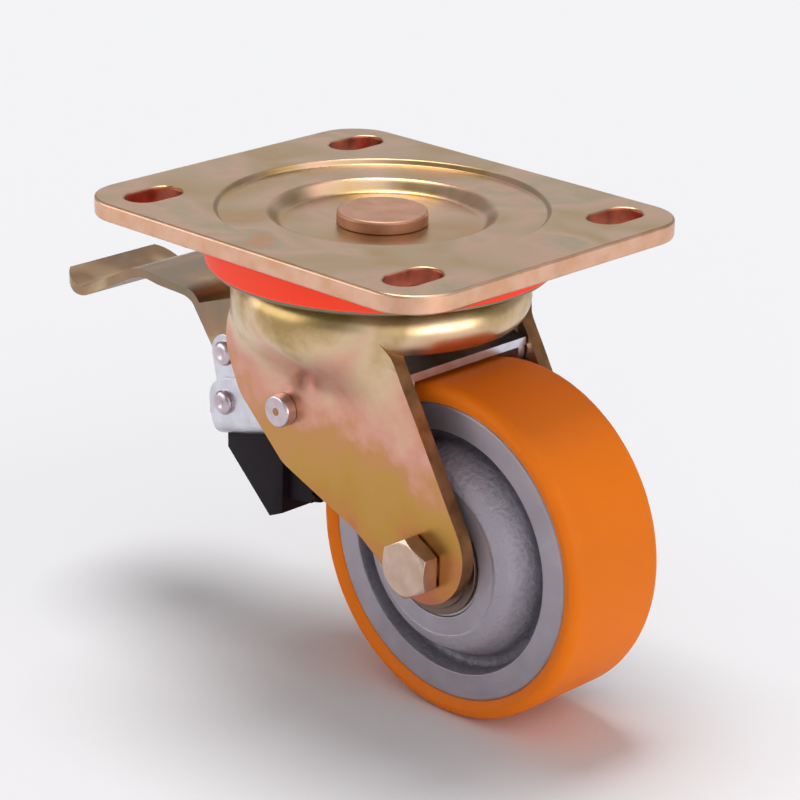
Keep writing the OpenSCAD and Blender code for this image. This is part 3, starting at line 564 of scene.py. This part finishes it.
def ribbed_pad(name, half_width):
    """The shoe's pad: a bar across the wheel whose gripping side has teeth along the tread's curve."""
    hub, pin = pivot("wheel_spin"), pivot("brake_rock")
    rock = math.radians(JOINTS["brake_rock"]["range_deg"][1])
    back = Vector((hub.y - pin.y, hub.z - pin.z))
    # The wheel's middle as the shoe sees it when it grips
    middle = Vector((
        pin.y + back.x * math.cos(rock) + back.y * math.sin(rock),
        pin.z + back.y * math.cos(rock) - back.x * math.sin(rock),
    ))
    grip_r = corner("tread", True).z - hub.z + 0.35 * MM
    gap_r = grip_r + 1.4 * MM
    outline = []
    # The teeth start at first and follow each other by pitch, in degrees about the wheel's middle
    pitch, first, teeth = 3.2, 159.8, 5
    for i in range(teeth):
        for step, r in ((0.0, grip_r), (1.3, grip_r), (1.6, gap_r), (2.9, gap_r)):
            a = math.radians(first + i * pitch + step)
            outline.append((middle.x + r * math.cos(a), middle.y + r * math.sin(a)))
    lowest, highest = outline[-1], outline[0]
    outline.append((lowest[0] - 12 * MM, lowest[1] - 1.5 * MM))
    outline.append((lowest[0] - 12 * MM, highest[1] - 2 * MM))
    outline.append((highest[0] - 5 * MM, highest[1] + 1 * MM))
    work = bmesh.new()
    ends = [[work.verts.new((x, y, z)) for y, z in outline] for x in (-half_width, half_width)]
    work.faces.new(ends[0])
    work.faces.new(ends[1][::-1])
    for i in range(len(outline)):
        j = (i + 1) % len(outline)
        work.faces.new((ends[0][i], ends[0][j], ends[1][j], ends[1][i]))
    bmesh.ops.recalc_face_normals(work, faces=work.faces)
    mesh = bpy.data.meshes.new(name)
    work.to_mesh(mesh)
    work.free()
    return place_in_scene(bpy.data.objects.new(name, mesh))


def joined(name, pieces):
    """One object from several, which are removed."""
    work = bmesh.new()
    for piece in pieces:
        work.from_mesh(piece.data)
        bpy.data.objects.remove(piece)
    mesh = bpy.data.meshes.new(name)
    work.to_mesh(mesh)
    work.free()
    return place_in_scene(bpy.data.objects.new(name, mesh))


def node_group(name, inputs):
    """A Geometry Nodes tree with named inputs, given as name to socket type, and those inputs."""
    tree = bpy.data.node_groups.new(name, "GeometryNodeTree")
    for label, kind in inputs.items():
        tree.interface.new_socket(label, in_out="INPUT", socket_type=kind)
    tree.interface.new_socket("Geometry", in_out="OUTPUT", socket_type="NodeSocketGeometry")
    return tree, node(tree, "NodeGroupInput").outputs


def close_group(tree, given, geometry):
    """Ends a tree in Realize Instances and Set Material."""
    real = node(tree, "GeometryNodeRealizeInstances", {"Geometry": geometry}).outputs["Geometry"]
    dressed = node(tree, "GeometryNodeSetMaterial", {"Geometry": real, "Material": given["Material"]})
    node(tree, "NodeGroupOutput", {"Geometry": dressed.outputs["Geometry"]})
    return tree


def grown(name, tree, values):
    """A mesh object from a Geometry Nodes tree and its inputs' values."""
    holder = place_in_scene(bpy.data.objects.new(name, bpy.data.meshes.new(name)))
    modifier = holder.modifiers.new(name, "NODES")
    modifier.node_group = tree
    for item in tree.interface.items_tree:
        if item.in_out == "INPUT" and item.name in values:
            modifier[item.identifier] = values[item.name]
    return plain_mesh(holder, name)


def ball_row_tree():
    """Balls in a ring about Z: one ball on each point of a circle."""
    tree, given = node_group("Ball row", {
        "Balls": "NodeSocketInt",
        "Row radius": "NodeSocketFloat",
        "Ball radius": "NodeSocketFloat",
        "Material": "NodeSocketMaterial",
    })
    ring = node(tree, "GeometryNodeMeshCircle", {"Vertices": given["Balls"], "Radius": given["Row radius"]})
    ball = node(
        tree, "GeometryNodeMeshUVSphere", {"Segments": 20, "Rings": 12, "Radius": given["Ball radius"]}
    ).outputs["Mesh"]
    round_ball = node(tree, "GeometryNodeSetShadeSmooth", {"Geometry": ball}).outputs["Geometry"]
    row = node(
        tree, "GeometryNodeInstanceOnPoints", {"Points": ring.outputs["Mesh"], "Instance": round_ball}
    ).outputs["Instances"]
    return close_group(tree, given, row)


def thread_tree():
    """A screw thread about Z: a three-sided ridge along a helix."""
    tree, given = node_group("Screw thread", {
        "Turns": "NodeSocketFloat",
        "Length": "NodeSocketFloat",
        "Radius": "NodeSocketFloat",
        "Ridge": "NodeSocketFloat",
        "Material": "NodeSocketMaterial",
    })
    helix = node(tree, "GeometryNodeCurveSpiral", {
        "Resolution": 40,
        "Rotations": given["Turns"],
        "Start Radius": given["Radius"],
        "End Radius": given["Radius"],
        "Height": given["Length"],
    }).outputs["Curve"]
    section = node(tree, "GeometryNodeCurvePrimitiveCircle", {"Resolution": 3, "Radius": given["Ridge"]})
    ridge = node(
        tree, "GeometryNodeCurveToMesh",
        {"Curve": helix, "Profile Curve": section.outputs["Curve"], "Fill Caps": True},
    ).outputs["Mesh"]
    return close_group(tree, given, ridge)


def on_axle(x):
    """Lays a shape that was made about Z along the axle, with its start at x."""
    hub = pivot("wheel_spin")
    return Matrix.Translation((x, hub.y, hub.z)) @ Matrix.Rotation(math.pi / 2, 4, "Y")


class CASTOR_OT_plate(bpy.types.Operator):
    """The pressed plate with its slots, dish and kingpin."""

    bl_idname = "castor.plate"
    bl_label = "Top plate"
    bl_options = {"REGISTER", "UNDO"}

    def execute(self, context):
        sizes = context.scene.castor_sizes
        plate = wear(eased("top_plate", "pressed_plate", sizes.plate_edge), "plate", "plate", "top_plate")
        inner = corner("top_plate", True) - Vector((2 * MM, 2 * MM, 0))
        # The plate's rounded corners start this far in from its sides
        corner_run = 14 * MM
        # A slot's wall lies within these of the slot's middle
        reach_x, reach_y = 10.5 * MM, 7 * MM

        def outside(middle, normal):
            far = abs(middle.x) > inner.x - corner_run or abs(middle.y) > inner.y
            return abs(normal.z) < 0.4 and far

        def in_slot(middle, normal):
            side, end = abs(abs(middle.x) - SLOT_AT[0]), abs(abs(middle.y) - SLOT_AT[1])
            return abs(normal.z) < 0.6 and side < reach_x and end < reach_y

        # Painted sheen: the plate's outer sides get a paler pink zinc, for the light they catch
        recoat(plate, "rim_zinc", outside)
        recoat(plate, "slot_zinc", in_slot)
        wear(eased("kingpin", "riveted_kingpin", sizes.small_edge), "forged_zinc", "plate", "kingpin")
        wear(eased("kingpin_nut", "lock_nut", sizes.small_edge), "steel", "plate", "kingpin_nut")
        wear(eased("lower_race", "race_cup", sizes.small_edge), "plate", "plate", "lower_race")
        return {"FINISHED"}


class CASTOR_OT_race(bpy.types.Operator):
    """The race ring, the seal and both rows of balls."""

    bl_idname = "castor.race"
    bl_label = "Swivel race"
    bl_options = {"REGISTER", "UNDO"}

    def execute(self, context):
        sizes = context.scene.castor_sizes
        low, high = corner("race_ring", False), corner("race_ring", True)
        top = corner("dust_seal", True).z
        ball_low, ball_high = corner("upper_balls", False), corner("upper_balls", True)
        ball_r = (ball_high.z - ball_low.z) / 2
        row_r, row_z = ball_high.x - ball_r, ball_low.z + ball_r
        # The seal drops over the ring, and only the ring's thin lip shows below it
        seal_r, seal_in, lip_z, lip_r = 51.3 * MM, 49.2 * MM, low.z + 1.35 * MM, 50.4 * MM
        bore_r = 30 * MM
        wide = math.acos((row_z - high.z) / ball_r) if row_z - high.z < ball_r else 0.0
        groove = [
            (row_z - ball_r * math.cos(a), row_r + ball_r * math.sin(a))
            for a in (wide * (1 - i / 4) for i in range(9))
        ]
        ring = turned("swivel_race_ring", (0, 0, 0), [
            (low.z, bore_r), (low.z, lip_r - 0.5 * MM), (low.z + 0.5 * MM, lip_r), (lip_z, lip_r),
            (lip_z, seal_in), (high.z, seal_in), *groove, (high.z, bore_r),
        ], about="Z", closed=True, steps=128)
        wear(ring, "pedal", "fork", "race_ring")
        seal = turned("moulded_seal", (0, 0, 0), [
            (lip_z, seal_in), (lip_z, seal_r - 0.4 * MM), (lip_z + 0.4 * MM, seal_r),
            (top - 1.0 * MM, seal_r), (top - 0.3 * MM, seal_r - 0.3 * MM),
            (top, seal_r - 0.9 * MM), (top, seal_in),
        ], about="Z", closed=True, steps=128)
        wear(seal, "seal", "fork", "dust_seal")
        row = ball_row_tree()
        for source, name, body, count in (
            ("upper_balls", "upper_ball_row", "fork", 24), ("lower_balls", "lower_ball_row", "plate", 15)
        ):
            low, high = corner(source, False), corner(source, True)
            ball_r = (high.z - low.z) / 2
            balls = grown(name, row, {
                "Balls": count, "Row radius": high.x - ball_r, "Ball radius": ball_r,
                "Material": MATERIALS["bearing"],
            })
            balls.data.transform(Matrix.Translation((0, 0, low.z + ball_r)))
            wear(balls, "bearing", body, source)
        return {"FINISHED"}


class CASTOR_OT_fork(bpy.types.Operator):
    """The pressed fork with its crown and legs."""

    bl_idname = "castor.fork"
    bl_label = "Fork"
    bl_options = {"REGISTER", "UNDO"}

    def execute(self, context):
        sizes = context.scene.castor_sizes
        fork = wear(eased("fork", "pressed_fork", sizes.fork_edge), "fork", "fork", "fork")
        # The sheared edges are the legs' narrow sides, below the crown
        leg_top = corner("fork", True).z - 19 * MM

        def sheared(middle, normal):
            return middle.z < leg_top and abs(normal.x) < 0.5

        # The legs' narrow sides get a darker brown, partly painted shade
        recoat(fork, "sheared_zinc", sheared)
        return {"FINISHED"}


class CASTOR_OT_wheel(bpy.types.Operator):
    """The iron casting, its tread and its bearings."""

    bl_idname = "castor.wheel"
    bl_label = "Wheel"
    bl_options = {"REGISTER", "UNDO"}

    def execute(self, context):
        sizes = context.scene.castor_sizes
        wear(eased("wheel_core", "iron_wheel", sizes.iron_edge), "iron", "wheel", "wheel_core")
        wear(eased("tread", "cast_tread", sizes.small_edge), "tread", "wheel", "tread")
        for source, look in (
            ("bearing_outer_rings", "steel"), ("bearing_inner_rings", "bearing"),
            ("bearing_shields", "dull_steel"), ("spacer_tube", "steel"), ("axle_sleeve", "steel"),
        ):
            dress(source, look)
        wear(eased("dust_washers", "stepped_washers", 0.15 * MM), "dull_steel", "fork", "dust_washers")
        row = ball_row_tree()
        hub = pivot("wheel_spin")
        low, high = corner("bearing_balls", False), corner("bearing_balls", True)
        ball_r = 3 * MM
        both = []
        for x in (low.x + ball_r, high.x - ball_r):
            balls = grown("bearing_row", row, {
                "Balls": 8, "Row radius": high.z - hub.z - ball_r, "Ball radius": ball_r,
                "Material": MATERIALS["bearing"],
            })
            balls.data.transform(on_axle(x))
            both.append(balls)
        wear(joined("bearing_ball_rows", both), "bearing", "wheel", "bearing_balls")
        return {"FINISHED"}


class CASTOR_OT_axle(bpy.types.Operator):
    """The hexagon bolt with its thread, its washer and its nut."""

    bl_idname = "castor.axle"
    bl_label = "Axle"
    bl_options = {"REGISTER", "UNDO"}

    def execute(self, context):
        sizes = context.scene.castor_sizes
        wear(eased("axle_bolt", "hexagon_bolt", sizes.small_edge), "pale_zinc", "fork", "axle_bolt")
        wear(eased("axle_washer", "flat_washer", sizes.small_edge), "clear_zinc", "fork", "axle_washer")
        wear(eased("axle_nut", "hexagon_nut", sizes.small_edge), "clear_zinc", "fork", "axle_nut")
        start = corner("axle_bolt", False).x + 1 * MM
        span = corner("axle_nut", False).x - start + 1 * MM
        ridge = grown("axle_thread", thread_tree(), {
            "Turns": span / sizes.thread_pitch, "Length": span, "Radius": 4.85 * MM, "Ridge": 0.5 * MM,
            "Material": MATERIALS["pale_zinc"],
        })
        ridge.data.transform(on_axle(start))
        wear(smooth(ridge), "pale_zinc", "fork", slot="bolt_zinc")
        return {"FINISHED"}


class CASTOR_OT_pins(bpy.types.Operator):
    """The brake pin with its clip, the pedal pin and the four rivets."""

    bl_idname = "castor.pins"
    bl_label = "Pins"
    bl_options = {"REGISTER", "UNDO"}

    def execute(self, context):
        sizes = context.scene.castor_sizes
        pin = eased("brake_pin", "headed_pin", sizes.small_edge)
        centre = (corner("brake_pin", False) + corner("brake_pin", True)) / 2
        face_x = corner("brake_pin", True).x
        # The real head is slightly smaller than the CAD's. What lies beyond shank_r is the head
        shank_r, shrink = 4.3 * MM, 0.06
        for vert in pin.data.vertices:
            away = Vector((0, vert.co.y - centre.y, vert.co.z - centre.z))
            if away.length > shank_r:
                vert.co -= away * shrink
        wear(pin, "rivet_zinc", "fork", "brake_pin")
        # The head's middle keeps a straw-coloured mark from its turning
        mark = turned("pin_turning_mark", (0, centre.y, centre.z), [
            (face_x - 0.2 * MM, 0), (face_x - 0.2 * MM, 1.3 * MM), (face_x + 0.04 * MM, 1.2 * MM),
            (face_x + 0.1 * MM, 0.7 * MM), (face_x + 0.1 * MM, 0),
        ])
        wear(mark, "sheared_zinc", "fork", slot="bolt_zinc")
        wear(eased("brake_pin_clip", "snap_ring", 0.1 * MM), "steel", "fork", "brake_pin_clip")
        dress("pedal_pin", "steel")
        wear(rivet_pair("lower_rivets", "lower_rivet_pair", 2.0), "rivet_zinc", "brake", "lower_rivets")
        wear(rivet_pair("upper_rivets", "upper_rivet_pair", 2.0), "rivet_zinc", "link", "upper_rivets")
        return {"FINISHED"}


class CASTOR_OT_brake(bpy.types.Operator):
    """The rocking bracket, the shoe and the toggle links."""

    bl_idname = "castor.brake"
    bl_label = "Brake"
    bl_options = {"REGISTER", "UNDO"}

    def execute(self, context):
        sizes = context.scene.castor_sizes
        bracket = eased("brake_bracket", "rocking_bracket", sizes.small_edge)
        wear(bracket, "clear_zinc", "brake", "brake_bracket")
        shoe = eased("brake_shoe", "moulded_shoe_body", sizes.small_edge)
        pad = ribbed_pad("moulded_shoe_pad", 17.5 * MM)
        wear(smooth(joined("moulded_shoe", [shoe, pad])), "shoe", "brake", "brake_shoe")
        for side in ("right", "left"):
            source = "toggle_link_" + side
            wear(eased(source, "pressed_link_" + side, sizes.small_edge), "clear_zinc", "link", source)
        return {"FINISHED"}


class CASTOR_OT_pedal(bpy.types.Operator):
    """The bent pedal and its return spring."""

    bl_idname = "castor.pedal"
    bl_label = "Pedal"
    bl_options = {"REGISTER", "UNDO"}

    def execute(self, context):
        sizes = context.scene.castor_sizes
        pedal = wear(eased("brake_pedal", "bent_pedal", sizes.pedal_edge), "pedal", "pedal", "brake_pedal")
        # Painted shade: the pedal's downward faces get a dark red-brown, standing for shade and the seal's
        # red reflection
        recoat(pedal, "under_zinc", lambda middle, normal: normal.z < -0.3)
        dress("return_spring", "steel")
        return {"FINISHED"}


def camera_at(place_mm, azimuth, elevation, roll, focal_px):
    """The photograph's camera. It stands at azimuth and elevation from its target, in degrees."""
    az, el, turn = (math.radians(a) for a in (azimuth, elevation, roll))
    forward = Vector((-math.cos(az) * math.cos(el), -math.sin(az) * math.cos(el), -math.sin(el)))
    level = Vector((-math.sin(az), math.cos(az), 0))
    upright = level.cross(forward)
    right = math.cos(turn) * level + math.sin(turn) * upright
    up = math.cos(turn) * upright - math.sin(turn) * level
    data = bpy.data.cameras.new("photo_camera")
    data.sensor_width = SENSOR_MM
    data.sensor_fit = "HORIZONTAL"
    data.lens = focal_px * SENSOR_MM / PHOTO_PX
    data.clip_start = 0.01
    data.clip_end = 50
    camera = place_in_scene(bpy.data.objects.new("photo_camera", data))
    turned_to = Matrix((right, up, -forward)).transposed().to_4x4()
    camera.matrix_world = Matrix.Translation(Vector(place_mm) * MM) @ turned_to
    bpy.context.scene.camera = camera


def softbox(name, place, target, size, power):
    """A soft studio panel at place, turned to target, that shows only in glossy surfaces."""
    data = bpy.data.lights.new(name, "AREA")
    data.shape = "RECTANGLE"
    data.size, data.size_y = size
    data.energy = power
    light = place_in_scene(bpy.data.objects.new(name, data))
    aim = Vector(target) - Vector(place)
    light.matrix_world = Matrix.Translation(place) @ aim.to_track_quat("-Z", "Y").to_matrix().to_4x4()
    light.visible_camera = False
    light.visible_diffuse = False


def wide_sun(name, towards, strength, spread):
    """Even daylight from the direction towards, as wide as spread degrees, for soft shadows."""
    data = bpy.data.lights.new(name, "SUN")
    data.energy = strength
    data.angle = math.radians(spread)
    light = place_in_scene(bpy.data.objects.new(name, data))
    light.matrix_world = Vector(towards).to_track_quat("Z", "Y").to_matrix().to_4x4()


class CASTOR_OT_stage(bpy.types.Operator):
    """The pale floor, the soft lights and the photograph's camera."""

    bl_idname = "castor.stage"
    bl_label = "Stage"
    bl_options = {"REGISTER", "UNDO"}

    def execute(self, context):
        colours = context.scene.castor_colours
        camera_at((602.565, 589.412, 252.183), 43.959, 20.314, 1.029, 3047.97)
        floor_z = CAD_BOX[0][2] - 0.2 * MM
        far = 6.0
        mesh = bpy.data.meshes.new("paper_floor")
        sides = ((-far, -far), (far, -far), (far, far), (-far, far))
        mesh.from_pydata([(x, y, floor_z) for x, y in sides], [], [range(4)])
        floor = place_in_scene(bpy.data.objects.new("paper_floor", mesh))

        def paper(tree, place):
            fibre = node(tree, "ShaderNodeTexNoise", {"Vector": place, "Scale": per_mm(0.5)})
            return {
                "Base Color": tuple(colours.floor) + (1.0,),
                "Roughness": 0.9,
                "Specular IOR Level": 0.0,
                "Normal": node(
                    tree, "ShaderNodeBump", {"Height": fibre.outputs["Fac"], "Distance": 0.002 * MM}
                ).outputs["Normal"],
            }

        mesh.materials.append(finish("studio paper", paper))
        middle = (0, 0, -0.07)
        softbox("overhead", (-0.3, 0.4, 1.3), middle, (1.2, 1.2), 7)
        softbox("from_behind", (-1.3, -1.2, 0.75), middle, (2.4, 0.8), 3.0)
        softbox("from_right", (-0.1, 1.5, 0.12), middle, (1.5, 0.5), 8)
        softbox("from_left", (1.15, -1.05, 0.4), middle, (1.5, 0.8), 9)
        wide_sun("window", (-0.15, -0.28, 1.0), 1.9, 30)
        wide_sun("front_fill", (0.35, 1.0, 0.35), 0.85, 80)
        world = bpy.data.worlds.new("studio air")
        world.use_nodes = True
        air = world.node_tree.nodes["Background"]
        air.inputs["Color"].default_value = linear("#F6F6F8")
        # The paper goes on up behind the castor, so the air that is seen is as pale as the floor
        seen = node(world.node_tree, "ShaderNodeLightPath").outputs["Is Camera Ray"]
        strength = node(
            world.node_tree, "ShaderNodeMapRange", {"Value": seen, "To Min": 0.38, "To Max": 0.95}
        )
        world.node_tree.links.new(strength.outputs["Result"], air.inputs["Strength"])
        context.scene.world = world
        context.scene.view_settings.view_transform = "Standard"
        return {"FINISHED"}


OPERATORS = (
    CASTOR_OT_plate, CASTOR_OT_race, CASTOR_OT_fork, CASTOR_OT_wheel, CASTOR_OT_axle,
    CASTOR_OT_pins, CASTOR_OT_brake, CASTOR_OT_pedal, CASTOR_OT_stage,
)


class CASTOR_PT_panel(bpy.types.Panel):
    """Lists the castor's pieces, colours and sizes"""

    bl_label = "Castor"
    bl_idname = "CASTOR_PT_panel"
    bl_space_type = "VIEW_3D"
    bl_region_type = "UI"
    bl_category = "Castor"

    def draw(self, context):
        layout = self.layout
        for group in (context.scene.castor_colours, context.scene.castor_sizes):
            box = layout.box()
            for name in group.__annotations__:
                box.prop(group, name)
        for operator in OPERATORS:
            layout.operator(operator.bl_idname)


CLASSES = (CastorColours, CastorSizes) + OPERATORS + (CASTOR_PT_panel,)


def register():
    for cls in CLASSES:
        bpy.utils.register_class(cls)
    bpy.types.Scene.castor_colours = bpy.props.PointerProperty(type=CastorColours)
    bpy.types.Scene.castor_sizes = bpy.props.PointerProperty(type=CastorSizes)


def unregister():
    del bpy.types.Scene.castor_sizes
    del bpy.types.Scene.castor_colours
    for cls in reversed(CLASSES):
        bpy.utils.unregister_class(cls)


def main():
    register()
    make_materials(bpy.context.scene.castor_colours)
    bpy.ops.castor.plate()
    bpy.ops.castor.race()
    bpy.ops.castor.fork()
    bpy.ops.castor.wheel()
    bpy.ops.castor.axle()
    bpy.ops.castor.pins()
    bpy.ops.castor.brake()
    bpy.ops.castor.pedal()
    bpy.ops.castor.stage()


if __name__ == "__main__":
    main()
